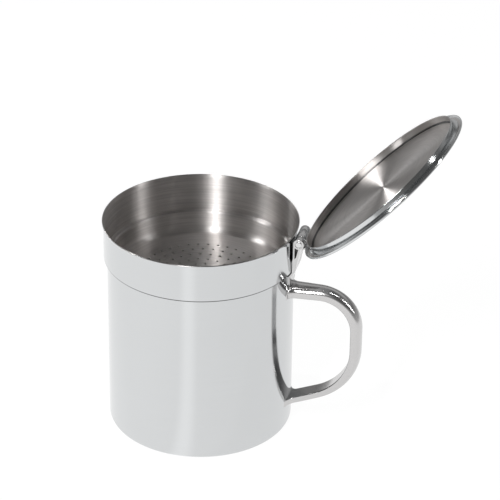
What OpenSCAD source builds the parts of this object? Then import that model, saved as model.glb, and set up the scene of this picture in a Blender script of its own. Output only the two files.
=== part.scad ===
// Bacon grease container: a pressed steel pot with a lift-out strainer cup and a hinged lid.
// Origin: centre of the flat base that the pot stands on. +Z up. Handle and hinge are at +X.
// The model is drawn with the strainer seated and the lid swung open by lid_open degrees.

/* [Pot] */
// Outside diameter of the pot's body
body_d = 110.4; // [100:0.1:135]
// Height of the pot's rim above the counter
body_h = 108; // [88:1:135]
// Sheet thickness of the pot
body_wall = 0.7; // [0.5:0.1:1]
// Outside radius of the corner between wall and base
base_round = 3.5; // [2:0.5:8]

/* [Strainer] */
// Height of the band above the pot's rim
band_h = 24; // [19:1:36]
// How far the band's wall stands outside the pot's wall
band_step = 2.1; // [1.2:0.1:3]
// How far the rim flares out past the band's wall
rim_flare = 0.7; // [0.2:0.1:1]
// Height over which the rim flares
flare_h = 3; // [2:0.5:5]
// Radius of the band's lower lip
lip_round = 1; // [0.8:0.1:1.5]
// Sheet thickness of the strainer
cup_wall = 0.6; // [0.4:0.1:0.7]
// Gap all round between the cup and the inside of the pot
cup_gap = 0.4; // [0.2:0.1:1]
// Depth from the rim to the underside of the strainer's floor
cup_depth = 37; // [31:1:60]
// Outside radius of the corner between the cup's wall and floor
cup_round = 4.5; // [2:0.5:6]
// Diameter of one strainer hole
hole_d = 1.6; // [1:0.1:3]
// Distance between rings of holes, and between holes along a ring
hole_pitch = 6.1; // [4:0.1:10]
// Distance from the cup's outside to the outermost ring of holes
hole_border = 18.4; // [8:0.1:25]

/* [Lid] */
// Angle by which the lid is swung open, 0 closed
lid_open = 136; // [0:1:136]
// How far the cover reaches past the strainer's rim
cover_overhang = 0.9; // [0.9:0.1:1.5]
// Sheet thickness of the cover
cover_t = 0.6; // [0.4:0.1:0.8]
// How far the cover's edge is turned down below its underside
edge_drop = 1.1; // [0.5:0.1:1.5]
// Outside radius of the turned-down edge
edge_round = 1; // [0.9:0.1:1.5]
// Gap between the closed cover and the rim
seat_gap = 0.1; // [0.05:0.05:0.5]
// How far the plug ring reaches below the rim
plug_h = 4.6; // [3:0.1:8]
// Gap between the plug ring and the inside of the band
plug_gap = 2.2; // [1:0.1:4]
// Sheet thickness of the plug ring
plug_wall = 0.6; // [0.4:0.1:0.8]
// Width of the plug ring's weld flange
plug_flange = 1.6; // [1:0.1:2]

/* [Hinge] */
// Diameter of the hinge pin
pin_d = 4.4; // [3:0.1:5.2]
// Depth of the pin's axis below the rim
pin_drop = 4.2; // [3.9:0.1:7]
// How far each end of the pin stands out of the bracket
pin_proud = 0.3; // [0.1:0.1:1]
// Sheet thickness of the bracket and the leaf
strap_t = 1; // [0.8:0.1:1.2]
// Width of the hinge over both eyes of the bracket
hinge_w = 19; // [16:1:24]
// Width of the leaf's knuckle between the eyes
knuckle_w = 8.8; // [6:0.1:10]
// Gap on each side between the knuckle and the eyes
side_gap = 0.3; // [0.2:0.1:0.5]
// Radial running clearance of the knuckle on the pin
pin_gap = 0.06; // [0.02:0.01:0.1]
// Gap between the knuckles and the band
hinge_gap = 0.3; // [0.3:0.1:1]
// Gap between the bracket's strip and the band
strip_gap = 0.3; // [0.3:0.1:1]
// Depth of the knuckle's slot below the pin's axis
slot_drop = 5.4; // [5:0.1:7]
// Gap between the open leaf's bend and its stop on the slot's edge
stop_gap = 0.15; // [0.05:0.05:0.5]
// Distance below the pin's axis at which the bracket's two legs meet
legs_meet = 9.6; // [9:0.1:12]
// Width of the bracket at its foot
foot_w = 15; // [10:1:19]
// Gap between the bracket's foot and the top of the handle
foot_gap = 2.4; // [0.5:0.1:4]
// Length of the leaf's pad on the cover
leaf_pad_l = 16; // [10:1:25]
// Width of the leaf's pad on the cover
leaf_pad_w = 16; // [12:1:24]

/* [Handle] */
// Distance from the pot's rim down to the top of the handle
handle_drop = 12; // [10:0.1:20]
// How far the handle reaches out from the body
handle_reach = 42.4; // [35:0.1:60]
// Thickness of the strap where it is gripped
handle_t = 5.4; // [4:0.1:7]
// Thickness of the upper arm
top_t = 6; // [4:0.1:8]
// Thickness of the lower arm
low_t = 4.2; // [3:0.1:7]
// Width of the strap where it is gripped
grip_w = 9.5; // [7:0.5:14]
// Radius of the handle's upper corner
top_round = 25; // [12:1:30]
// Length of the straight stretch below the upper corner
grip_straight = 13.6; // [2:0.1:16]
// Height of the handle's lower root above the counter
root_low = 15.2; // [8:0.5:25]
// Slope of the handle's lower arm
root_slope = 21.8; // [10:0.1:30]
// Width of the upper arm just outside its root
top_neck_w = 12; // [8:0.1:16]
// Width of the lower arm just outside its root
low_neck_w = 8.8; // [7:0.1:16]
// Width of the flared roots at the body
root_w = 20; // [17:1:28]
// Length over which a root flares
flare_l = 4; // [3:0.5:10]
// Distance from the body at which the strap has narrowed to the grip
taper_l = 24; // [15:1:30]

/* [Hidden] */

$fn = 144;
ARC_N = 8;
SMALL_FN = 24;
PAST = 1;
LEG_A = 72;
LEG_SPREAD = 1.9;
STRIP_SPREAD = 1.2;

body_r = body_d / 2;
bore_r = body_r - body_wall;
band_r = body_r + band_step;
rim_r = band_r + rim_flare;
rim_z = body_h + band_h;
cup_r = bore_r - cup_gap;
floor_z = rim_z - cup_depth;
flare_r = (flare_h * flare_h + rim_flare * rim_flare) / (2 * rim_flare);
flare_a = asin(flare_h / flare_r);
flare_in_a = asin(flare_h / (flare_r + cup_wall));
hole_r_max = cup_r - hole_border;

cover_r = rim_r + cover_overhang;
cover_z = rim_z + seat_gap;
cover_top = cover_z + cover_t;
plug_r = band_r - cup_wall - plug_gap;

pin_r = pin_d / 2;
eye_r = pin_r + strap_t;
pin_x = band_r + hinge_gap + eye_r;
pin_z = rim_z - pin_drop;
strip_r = band_r + strip_gap;
slot_w = knuckle_w + 2 * side_gap;
leaf_bend = 2 * strap_t;
leaf_bend_c = [pin_x + eye_r - leaf_bend, cover_top + strap_t - leaf_bend];
leaf_pad_x = cover_r - 3 * strap_t;

handle_top = body_h - handle_drop;
handle_x = body_r + handle_reach;
foot_z = handle_top + foot_gap;
low_c_z = handle_top - top_round - grip_straight;

// Points along an arc about c, from angle a0 to a1
function arc(c, r, a0, a1, n = ARC_N) =
    [for (i = [0:n]) let (a = a0 + (a1 - a0) * i / n) c + r * [cos(a), sin(a)]];

// Turns an outline drawn in x and z into a plate of width w, centred on y = 0
module plate_y(w) {
    rotate([90, 0, 0])
        translate([0, 0, -w / 2])
            linear_extrude(height = w)
                children();
}

// Swings what is drawn closed about the hinge pin to where the lid stands
module swing_lid() {
    translate([pin_x, 0, pin_z])
        rotate([0, lid_open, 0])
            translate([-pin_x, 0, -pin_z])
                children();
}

// ---- Pot ----

module pot_shell() {
    c = [body_r - base_round, base_round];
    color("gainsboro")
        rotate_extrude()
            polygon(concat(
                [[0, 0]],
                arc(c, base_round, -90, 0),
                [[body_r, body_h], [bore_r, body_h]],
                arc(c, base_round - body_wall, 0, -90),
                [[0, body_wall]]
            ));
}

// Outline of the handle's loop in x and z, drawn in from the top, the grip and the lower arm
module handle_outline(top_in, grip_in, low_in) {
    x_grip = handle_x - grip_in;
    top_r = top_round - grip_in;
    top_c = [x_grip - top_r, handle_top - top_in - top_r];
    rise = low_c_z - root_low - low_in / cos(root_slope) - tan(root_slope) * (handle_reach - grip_in);
    low_r = rise * cos(root_slope) / (1 - sin(root_slope));
    low_c = [x_grip - low_r, low_c_z];
    low_end = low_c + low_r * [sin(root_slope), -cos(root_slope)];
    low_start = [0, low_end[1] - tan(root_slope) * low_end[0]];
    translate([0, low_c_z])
        square([top_c[0], handle_top - top_in - low_c_z]);
    translate([0, low_c_z])
        square([x_grip, top_c[1] - low_c_z]);
    translate(top_c)
        circle(r = top_r);
    intersection() {
        translate(low_c)
            circle(r = low_r);
        polygon([low_c, low_end, [low_end[0], 0], [handle_x, 0], [handle_x, low_c_z]]);
    }
    polygon([[0, low_c_z], low_start, low_end, low_c]);
}

// Outline of one arm seen from above, from its flared root at the body to the grip
module arm_plan(neck_w) {
    root_x = body_r + flare_l;
    widen = (root_w - neck_w) / 2 / flare_l;
    flare = [for (p = arc([0, flare_l], flare_l, -90, -180)) [root_x + p[0], neck_w / 2 + widen * p[1]]];
    half = concat(
        [[handle_x + PAST, grip_w / 2], [body_r + taper_l, grip_w / 2]],
        flare,
        [[body_r - flare_l, root_w / 2]]
    );
    polygon(concat(half, [for (i = [len(half) - 1:-1:0]) [half[i][0], -half[i][1]]]));
}

module handle() {
    color("lightgray")
        difference() {
            intersection() {
                plate_y(root_w + PAST)
                    difference() {
                        handle_outline(0, 0, 0);
                        handle_outline(top_t, handle_t, low_t);
                    }
                union() {
                    translate([0, 0, low_c_z])
                        linear_extrude(height = body_h - low_c_z)
                            arm_plan(top_neck_w);
                    linear_extrude(height = low_c_z)
                        arm_plan(low_neck_w);
                }
            }
            cylinder(r = body_r, h = body_h);
        }
}

// Height at which the bracket's strip leaves the body to clear the band's lip
jog_z = body_h - band_step - strip_gap - strap_t;

// Side view of the folded strip: two legs that meet above the foot, and the eye
module bracket_legs() {
    leg_x = pin_x - eye_r;
    meet_z = pin_z - legs_meet;
    fold_x = leg_x + LEG_SPREAD * strap_t;
    strip_x = strip_r + STRIP_SPREAD * strap_t;
    out_p = [pin_x, pin_z] + eye_r * [cos(LEG_A), -sin(LEG_A)];
    polygon([
        out_p, [fold_x + strap_t, meet_z], [strip_x, body_h + strap_t / 2],
        [body_r, body_h + strap_t / 2], [leg_x, meet_z], [leg_x, pin_z], [leg_x + strap_t, pin_z],
        [leg_x + strap_t, meet_z], [fold_x, meet_z + strap_t], out_p - [strap_t, 0]
    ]);
    translate([pin_x, pin_z])
        circle(r = eye_r);
}

// Side view, in radius and height, of the foot that steps in under the band's lip to the body
module bracket_foot() {
    polygon([
        [body_r - strap_t, foot_z], [body_r + strap_t, foot_z], [body_r + strap_t, jog_z],
        [strip_r + strap_t, body_h], [strip_r + strap_t, body_h + 2 * strap_t],
        [body_r - strap_t, body_h + 2 * strap_t]
    ]);
}

// What the strip lies against: the pot's body, and the band with its gap
module bracket_core() {
    rotate_extrude()
        polygon([
            [0, foot_z - PAST], [body_r, foot_z - PAST], [body_r, jog_z],
            [strip_r, body_h], [strip_r, rim_z + PAST], [0, rim_z + PAST]
        ]);
}

// Front view, in y and z, that the bracket is cut to
module bracket_front() {
    meet_z = pin_z - legs_meet;
    r = 2 * strap_t;
    polygon(concat(
        [[hinge_w / 2, pin_z + eye_r + PAST], [hinge_w / 2, meet_z]],
        arc([foot_w / 2 - r, foot_z + r], r, 0, -90),
        arc([-foot_w / 2 + r, foot_z + r], r, -90, -180),
        [[-hinge_w / 2, meet_z], [-hinge_w / 2, pin_z + eye_r + PAST]]
    ));
}

module hinge_bracket() {
    color("silver")
        difference() {
            intersection() {
                union() {
                    plate_y(hinge_w)
                        bracket_legs();
                    rotate([0, 0, -20])
                        rotate_extrude(angle = 40)
                            bracket_foot();
                }
                rotate([90, 0, 90])
                    linear_extrude(height = pin_x + 2 * eye_r)
                        bracket_front();
            }
            bracket_core();
            translate([pin_x, 0, pin_z])
                rotate([90, 0, 0])
                    cylinder(r = pin_r, h = hinge_w + 2 * PAST, center = true, $fn = 48);
            translate([body_r, -slot_w / 2, pin_z - slot_drop])
                cube([handle_reach, slot_w, band_h]);
            swing_lid()
                translate([leaf_bend_c[0], 0, leaf_bend_c[1]])
                    rotate([90, 0, 0])
                        cylinder(r = leaf_bend + stop_gap, h = slot_w, center = true, $fn = 72);
        }
}

module hinge_pin() {
    half = hinge_w / 2 + pin_proud;
    color("whitesmoke")
        translate([pin_x, 0, pin_z])
            rotate([90, 0, 0])
                rotate_extrude($fn = 48)
                    polygon([
                        [0, -half], [pin_r - pin_proud, -half], [pin_r, -half + pin_proud],
                        [pin_r, half - pin_proud], [pin_r - pin_proud, half], [0, half]
                    ]);
}

// ---- Strainer ----

// Half section of the drawn cup, from its floor out over the step and up to the rim
module cup_section() {
    corner = [cup_r - cup_round, floor_z + cup_round];
    seat = [cup_r + cup_gap, body_h - cup_gap];
    lip = [band_r - lip_round, body_h + lip_round];
    flare = [band_r + flare_r, rim_z - flare_h];
    polygon(concat(
        [[0, floor_z]],
        arc(corner, cup_round, -90, 0),
        arc(seat, cup_gap, 180, 90),
        arc(lip, lip_round, -90, 0),
        arc(flare, flare_r, 180, 180 - flare_a),
        arc(flare, flare_r + cup_wall, 180 - flare_in_a, 180),
        arc(lip, lip_round - cup_wall, 0, -90),
        arc(seat, cup_gap + cup_wall, 90, 180),
        arc(corner, cup_round - cup_wall, 0, -90),
        [[0, floor_z + cup_wall]]
    ));
}

// Every hole of the floor: one in the middle and rings around it
module strainer_holes() {
    rings = floor((hole_r_max - hole_pitch / 2) / hole_pitch);
    for (k = [0:rings]) {
        r = hole_r_max - k * hole_pitch;
        n = round(2 * PI * r / hole_pitch);
        for (i = [0:n - 1])
            rotate([0, 0, (i + k / 2) * 360 / n])
                translate([r, 0, 0])
                    cylinder(d = hole_d, h = cup_wall + 2 * PAST, $fn = SMALL_FN);
    }
    cylinder(d = hole_d, h = cup_wall + 2 * PAST, $fn = SMALL_FN);
}

module strainer_cup() {
    color("lightgray")
        difference() {
            rotate_extrude()
                cup_section();
            translate([0, 0, floor_z - PAST])
                strainer_holes();
        }
}

// ---- Lid, drawn closed and then swung open ----

module lid_cover() {
    inner = cover_r - cover_t;
    fold = edge_round - cover_t;
    color("silver")
        swing_lid()
            rotate_extrude()
                polygon(concat(
                    [[0, cover_z]],
                    arc([inner - fold, cover_z - fold], fold, 90, 0),
                    [[inner, cover_z - edge_drop], [cover_r, cover_z - edge_drop]],
                    arc([cover_r - edge_round, cover_top - edge_round], edge_round, 0, 90),
                    [[0, cover_top]]
                ));
}

module lid_plug() {
    color("gray")
        swing_lid()
            rotate_extrude()
                polygon([
                    [plug_r - plug_wall, rim_z - plug_h], [plug_r, rim_z - plug_h],
                    [plug_r, cover_z - plug_wall], [plug_r + plug_flange, cover_z - plug_wall],
                    [plug_r + plug_flange, cover_z], [plug_r - plug_wall, cover_z]
                ]);
}

// Side view of the leaf's knuckle: flat on the cover, over its edge and round the pin
module leaf_side() {
    difference() {
        union() {
            translate([pin_x, pin_z])
                circle(r = eye_r, $fn = 72);
            translate([pin_x + pin_r, pin_z])
                square([strap_t, leaf_bend_c[1] - pin_z]);
            translate([leaf_pad_x - strap_t, cover_top])
                square([leaf_bend_c[0] - leaf_pad_x + strap_t, strap_t]);
            intersection() {
                translate(leaf_bend_c)
                    difference() {
                        circle(r = leaf_bend, $fn = 72);
                        circle(r = leaf_bend - strap_t, $fn = 72);
                    }
                translate(leaf_bend_c)
                    square(leaf_bend);
            }
        }
        translate([pin_x, pin_z])
            circle(r = pin_r + pin_gap, $fn = 72);
    }
}

module lid_leaf() {
    color("darkgray")
        swing_lid() {
            plate_y(knuckle_w)
                leaf_side();
            translate([0, 0, cover_top])
                linear_extrude(height = strap_t)
                    intersection() {
                        translate([leaf_pad_x - leaf_pad_l, -leaf_pad_w / 2])
                            square([leaf_pad_l, leaf_pad_w]);
                        translate([leaf_pad_x - leaf_pad_l + leaf_pad_w / 2, 0])
                            union() {
                                circle(d = leaf_pad_w);
                                translate([0, -leaf_pad_w / 2])
                                    square([leaf_pad_l, leaf_pad_w]);
                            }
                    }
        }
}

pot_shell();
handle();
hinge_bracket();
hinge_pin();
strainer_cup();
lid_cover();
lid_plug();
lid_leaf();
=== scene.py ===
"""Visual model of a steel bacon grease container: pot, handle, hinge, strainer cup and lid.

Everything is in metres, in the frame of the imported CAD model: the origin is the centre of the
flat base, +Z is up, and the handle and hinge are at +X. The strainer sits in the pot and the
lid stands open.
"""

from __future__ import annotations

import logging
import math
from dataclasses import dataclass, field
from enum import Enum
from typing import Any

import bmesh
import bpy
from mathutils import Matrix, Vector

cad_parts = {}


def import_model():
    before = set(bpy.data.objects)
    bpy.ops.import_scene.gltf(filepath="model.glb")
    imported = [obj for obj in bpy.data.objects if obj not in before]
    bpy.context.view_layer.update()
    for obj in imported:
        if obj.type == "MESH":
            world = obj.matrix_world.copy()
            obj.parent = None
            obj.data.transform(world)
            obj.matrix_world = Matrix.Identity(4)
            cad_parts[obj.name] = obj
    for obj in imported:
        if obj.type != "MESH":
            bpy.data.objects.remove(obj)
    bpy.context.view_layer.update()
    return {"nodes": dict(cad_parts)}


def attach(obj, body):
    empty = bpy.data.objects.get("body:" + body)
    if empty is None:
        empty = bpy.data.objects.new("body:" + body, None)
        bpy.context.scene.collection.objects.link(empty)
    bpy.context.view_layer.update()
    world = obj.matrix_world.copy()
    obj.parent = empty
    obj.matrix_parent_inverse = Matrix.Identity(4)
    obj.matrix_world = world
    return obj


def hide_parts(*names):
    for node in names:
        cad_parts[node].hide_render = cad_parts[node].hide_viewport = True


LOG = logging.getLogger("grease_container")
MM = 0.001
WHITE = (1.0, 1.0, 1.0, 1.0)
Point = tuple[float, float]
# The value at which a ramp starts, the one at which it ends, and what it gives at each
Ramp = tuple[float, float, float, float]

# Outside radius of the pot
BODY_R = 55.2 * MM
# Height of the pot's rim, on which the strainer's step sits
BODY_H = 108.0 * MM
# Sheet thickness of the pot
BODY_WALL = 0.7 * MM
# Outside radius of the strainer's band
BAND_R = 57.3 * MM
# How far the strainer's rim flares out past its band
RIM_FLARE = 0.7 * MM
# Height of the strainer's rim
RIM_Z = 132.0 * MM
# Sheet thickness of the strainer, the cover and the plug ring
SHEET = 0.6 * MM
# Width of the eased edge on a folded strip
EASED_EDGE = 0.16 * MM
# Facets round a large turned piece
ROUND_STEPS = 256
# Square of a radius so small that it is taken as the axis
ON_AXIS = 1e-9
# Distance within which two points of a section are one
ONE_POINT = 1e-7


# ---- Node trees ----


class Signal:
    """One value in a node tree, on which ordinary arithmetic adds Math nodes."""

    def __init__(self, board: Board, socket: bpy.types.NodeSocket) -> None:
        """Keeps the output socket and the board that it is on."""
        self.board = board
        self.socket = socket

    def maths(self, operation: str, *terms: Signal | float) -> Signal:
        """Adds a Math node of that operation, fed with the terms in order."""
        inputs = dict(enumerate(terms))
        return self.board.add("ShaderNodeMath", {"operation": operation}, inputs, "Value")

    def __add__(self, other: Signal | float) -> Signal:
        """Sum."""
        return self.maths("ADD", self, other)

    def __radd__(self, other: float) -> Signal:
        """Sum with a plain number on the left."""
        return self.maths("ADD", other, self)

    def __sub__(self, other: Signal | float) -> Signal:
        """Difference."""
        return self.maths("SUBTRACT", self, other)

    def __rsub__(self, other: float) -> Signal:
        """Difference from a plain number."""
        return self.maths("SUBTRACT", other, self)

    def __mul__(self, other: Signal | float) -> Signal:
        """Product."""
        return self.maths("MULTIPLY", self, other)

    def __rmul__(self, other: float) -> Signal:
        """Product with a plain number on the left."""
        return self.maths("MULTIPLY", other, self)

    def __truediv__(self, other: Signal | float) -> Signal:
        """Quotient."""
        return self.maths("DIVIDE", self, other)

    def __rtruediv__(self, other: float) -> Signal:
        """Quotient of a plain number."""
        return self.maths("DIVIDE", other, self)

    def __mod__(self, other: Signal | float) -> Signal:
        """Remainder."""
        return self.maths("MODULO", self, other)

    def __neg__(self) -> Signal:
        """Opposite."""
        return self.maths("MULTIPLY", self, -1.0)

    def sine(self) -> Signal:
        """Sine."""
        return self.maths("SINE", self)

    def cosine(self) -> Signal:
        """Cosine."""
        return self.maths("COSINE", self)

    def bearing(self, other: Signal) -> Signal:
        """Angle in degrees of the point at this distance to the right and the other ahead."""
        return self.maths("ARCTAN2", self, other) * (180.0 / math.pi)

    def root(self) -> Signal:
        """Square root."""
        return self.maths("SQRT", self)

    def size(self) -> Signal:
        """Absolute value."""
        return self.maths("ABSOLUTE", self)

    def floor(self) -> Signal:
        """Whole part."""
        return self.maths("FLOOR", self)

    def nearest(self) -> Signal:
        """Nearest whole number."""
        return self.maths("ROUND", self)

    def above(self, level: Signal | float) -> Signal:
        """One where the value is greater than the level, else zero."""
        return self.maths("GREATER_THAN", self, level)

    def below(self, level: Signal | float) -> Signal:
        """One where the value is less than the level, else zero."""
        return self.maths("LESS_THAN", self, level)

    def larger(self, other: Signal | float) -> Signal:
        """The larger of two values."""
        return self.maths("MAXIMUM", self, other)

    def ramp(self, low: float, high: float, to_low: float = 0.0, to_high: float = 1.0) -> Signal:
        """Maps a range smoothly on to another and holds the ends.

        Args:
            low: Value that gives to_low.
            high: Value that gives to_high.
            to_low: Result at and below low.
            to_high: Result at and above high.

        Returns:
            The mapped value.
        """
        return self.board.add(
            "ShaderNodeMapRange",
            {"interpolation_type": "SMOOTHSTEP"},
            {0: self, 1: low, 2: high, 3: to_low, 4: to_high},
            "Result",
        )


class Board:
    """A node tree under construction."""

    def __init__(self, tree: bpy.types.NodeTree) -> None:
        """Keeps the tree that nodes are added to."""
        self.tree = tree

    @classmethod
    def cleared(cls, owner: bpy.types.Material | bpy.types.World) -> Board:
        """Turns on the nodes of a material or world and empties its tree.

        Args:
            owner: The material or world.

        Returns:
            A board on its empty tree.
        """
        owner.use_nodes = True
        owner.node_tree.nodes.clear()
        return cls(owner.node_tree)

    def place(self, kind: str, settings: dict[str, Any], inputs: dict[Any, Any]) -> bpy.types.Node:
        """Adds one node: its type, then its settings, then its socket values and links.

        Args:
            kind: Blender's type name of the node.
            settings: Attributes of the node, set before its sockets are touched.
            inputs: Socket index, identifier or name to a value or a Signal.

        Returns:
            The new node.
        """
        node = self.tree.nodes.new(kind)
        for name, value in settings.items():
            setattr(node, name, value)
        self.feed(node, inputs)
        return node

    def feed(self, node: bpy.types.Node, inputs: dict[Any, Any]) -> None:
        """Sets or links sockets of a node that is already placed.

        Args:
            node: The node.
            inputs: Socket index, identifier or name to a value or a Signal.
        """
        for key, value in inputs.items():
            socket = self.socket(node, key)
            if isinstance(value, Signal):
                self.tree.links.new(value.socket, socket)
            else:
                socket.default_value = value

    def add(
        self, kind: str, settings: dict[str, Any], inputs: dict[Any, Any], output: str | int = 0
    ) -> Signal:
        """Adds one node and gives one of its outputs as a Signal."""
        return Signal(self, self.place(kind, settings, inputs).outputs[output])

    def out(self, node: bpy.types.Node, output: str | int = 0) -> Signal:
        """An output of a node that is already placed, as a Signal."""
        return Signal(self, node.outputs[output])

    def split(self, vector: Signal) -> tuple[Signal, Signal, Signal]:
        """The X, Y and Z parts of a vector."""
        node = self.place("ShaderNodeSeparateXYZ", {}, {"Vector": vector})
        return self.out(node, 0), self.out(node, 1), self.out(node, 2)

    def combine(
        self, x: Signal | float = 0.0, y: Signal | float = 0.0, z: Signal | float = 0.0
    ) -> Signal:
        """A vector from its X, Y and Z parts."""
        return self.add("ShaderNodeCombineXYZ", {}, {0: x, 1: y, 2: z})

    def noise(self, at: Signal, scale: float, detail: float, bend: float = 0.0) -> Signal:
        """Smooth noise between 0 and 1 at a scale in waves to the metre."""
        inputs = {"Vector": at, "Scale": scale, "Detail": detail, "Distortion": bend}
        return self.add("ShaderNodeTexNoise", {}, inputs, "Fac")

    @staticmethod
    def socket(node: bpy.types.Node, key: str | int) -> bpy.types.NodeSocket:
        """Finds an input socket of a node.

        Args:
            node: The node.
            key: The socket's index or identifier, or else its name.

        Returns:
            The socket.
        """
        if isinstance(key, int):
            return node.inputs[key]
        by_identifier = [s for s in node.inputs if s.identifier == key]
        return by_identifier[0] if by_identifier else node.inputs[key]


class GeometryBoard(Board):
    """A Geometry Nodes tree with named inputs."""

    def __init__(self, name: str, inputs: list[tuple[str, str]]) -> None:
        """Makes the tree and its group sockets.

        Args:
            name: Name of the tree.
            inputs: Name and socket type of each input after the geometry.
        """
        super().__init__(bpy.data.node_groups.new(name, "GeometryNodeTree"))
        face = self.tree.interface
        face.new_socket("Geometry", in_out="INPUT", socket_type="NodeSocketGeometry")
        for label, kind in inputs:
            face.new_socket(label, in_out="INPUT", socket_type=kind)
        face.new_socket("Geometry", in_out="OUTPUT", socket_type="NodeSocketGeometry")
        self.group_in = self.place("NodeGroupInput", {}, {})

    def given(self, label: str) -> Signal:
        """One of the tree's own inputs."""
        return self.out(self.group_in, label)

    def join(self, *parts: Signal) -> Signal:
        """Joins several geometries into one.

        Args:
            parts: The geometries, in the order in which they are linked.

        Returns:
            The joined geometry.
        """
        node = self.place("GeometryNodeJoinGeometry", {}, {})
        for part in parts:
            self.feed(node, {0: part})
        return self.out(node)

    def merge(self, geometry: Signal, distance: float) -> Signal:
        """Joins vertices that lie within a distance of each other."""
        inputs = {"Geometry": geometry, "Distance": distance}
        return self.add("GeometryNodeMergeByDistance", {}, inputs)

    def close(self, geometry: Signal, finishes: list[tuple[str, Signal | None]]) -> None:
        """Ends the tree in Realize Instances, then one Set Material for each finish.

        Args:
            geometry: What the tree has made.
            finishes: Label of a material input, and where it goes, None for everywhere.
        """
        result = self.add("GeometryNodeRealizeInstances", {}, {"Geometry": geometry})
        for label, where in finishes:
            inputs: dict[Any, Any] = {"Geometry": result, "Material": self.given(label)}
            if where is not None:
                inputs["Selection"] = where
            result = self.add("GeometryNodeSetMaterial", {}, inputs)
        self.place("NodeGroupOutput", {}, {"Geometry": result})

    def run(self, name: str, start: list[Vector], values: dict[str, Any]) -> bpy.types.Object:
        """Runs the tree on a set of points and keeps the result as a plain mesh object.

        Args:
            name: Name of the new object.
            start: Vertices of the mesh that the tree begins with.
            values: Label of each input to its value.

        Returns:
            The object, with no modifier left on it.
        """
        seed = bpy.data.meshes.new(name + "_points")
        seed.from_pydata([tuple(p) for p in start], [], [])
        piece = put(name, seed)
        modifier = piece.modifiers.new(name, "NODES")
        modifier.node_group = self.tree
        for item in self.tree.interface.items_tree:
            if item.in_out == "INPUT" and item.name in values:
                modifier[item.identifier] = values[item.name]
        settle(piece)
        return piece


# ---- Objects and meshes ----


def put(name: str, data: bpy.types.ID) -> bpy.types.Object:
    """Adds an object to the scene.

    Args:
        name: Name of the object.
        data: The mesh, light or camera that it holds.

    Returns:
        The object.
    """
    made = bpy.data.objects.new(name, data)
    bpy.context.scene.collection.objects.link(made)
    return made


def mesh_from(work: bmesh.types.BMesh, name: str) -> bpy.types.Mesh:
    """Turns a mesh that is being edited into a finished one.

    Args:
        work: The edited mesh, which is freed.
        name: Name of the finished mesh.

    Returns:
        The finished mesh.
    """
    mesh = bpy.data.meshes.new(name)
    work.to_mesh(mesh)
    work.free()
    return mesh


def settle(piece: bpy.types.Object) -> None:
    """Replaces a piece's mesh with the result of its modifiers and removes them.

    Args:
        piece: The piece.
    """
    raw = piece.data
    graph = bpy.context.evaluated_depsgraph_get()
    mesh = bpy.data.meshes.new_from_object(piece.evaluated_get(graph))
    piece.modifiers.clear()
    piece.data = mesh
    bpy.data.meshes.remove(raw)
    mesh.name = piece.name


def smooth(mesh: bpy.types.Mesh, sharp: float) -> None:
    """Shades a mesh smooth and keeps its real edges sharp.

    Args:
        mesh: The mesh.
        sharp: Angle in degrees from which an edge stays sharp.
    """
    for face in mesh.polygons:
        face.use_smooth = True
    mesh.set_sharp_from_angle(angle=math.radians(sharp))


def tidy_shell(mesh: bpy.types.Mesh, sharp: float = 40.0) -> None:
    """Turns a closed shell's faces outwards and shades it smooth.

    Args:
        mesh: The closed mesh.
        sharp: Angle in degrees from which an edge stays sharp.
    """
    work = bmesh.new()
    work.from_mesh(mesh)
    bmesh.ops.recalc_face_normals(work, faces=work.faces)
    if work.calc_volume(signed=True) < 0.0:
        bmesh.ops.reverse_faces(work, faces=work.faces)
    work.to_mesh(mesh)
    work.free()
    smooth(mesh, sharp)


def ring_space(mesh: bpy.types.Mesh, centre: Vector, reach: float, along: float = 1.0) -> None:
    """Sets a mesh's texture space so that the brushing of a tilted piece runs in true rings.

    Args:
        mesh: Mesh of a turned piece in its final place.
        centre: Middle of the piece.
        reach: Half the side of the space.
        along: How much longer the space is in Y, 1 for a disc and much more for a ring's wall.
    """
    mesh.use_auto_texspace = False
    mesh.texspace_location = centre
    mesh.texspace_size = (reach, reach * along, reach)


def eased_copy(
    source: bpy.types.Object, name: str, edge: float, material: bpy.types.Material
) -> bpy.types.Object:
    """Copies a CAD node's mesh, joins its loose triangles and eases its edges.

    Args:
        source: The CAD node's object, which is left as it is.
        name: Name of the new piece.
        edge: Width of the eased edge.
        material: Finish of the piece.

    Returns:
        The new piece.
    """
    work = bmesh.new()
    work.from_mesh(source.data)
    bmesh.ops.remove_doubles(work, verts=work.verts, dist=0.002 * MM)
    flat = math.radians(1.0)
    bmesh.ops.dissolve_limit(work, angle_limit=flat, verts=work.verts, edges=work.edges)
    bmesh.ops.recalc_face_normals(work, faces=work.faces)
    mesh = mesh_from(work, name)
    mesh.materials.clear()
    mesh.materials.append(material)
    piece = put(name, mesh)
    bevel = piece.modifiers.new("eased_edges", "BEVEL")
    bevel.width = edge
    bevel.segments = 3
    bevel.limit_method = "ANGLE"
    bevel.angle_limit = math.radians(32.0)
    bevel.harden_normals = False
    settle(piece)
    smooth(piece.data, 38.0)
    return piece


def show(piece: bpy.types.Object, body: str, replaced: str | None = None) -> None:
    """Puts a finished piece on its body and reports it.

    Args:
        piece: The finished piece.
        body: Body that it moves with.
        replaced: CAD node that it stands for, if any.
    """
    if replaced is not None:
        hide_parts(replaced)
    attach(piece, body)
    LOG.info("%s: %d faces on %s", piece.name, len(piece.data.polygons), body)


# ---- Finishes ----


def distance(first: Signal, second: Signal, least: float = 0.0) -> Signal:
    """Length of a vector with two parts, kept from zero where it is divided by.

    Args:
        first: First part.
        second: Second part.
        least: Square of the length that is given at zero.

    Returns:
        The length.
    """
    square = first * first + second * second
    return (square + least if least else square).root()


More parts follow.
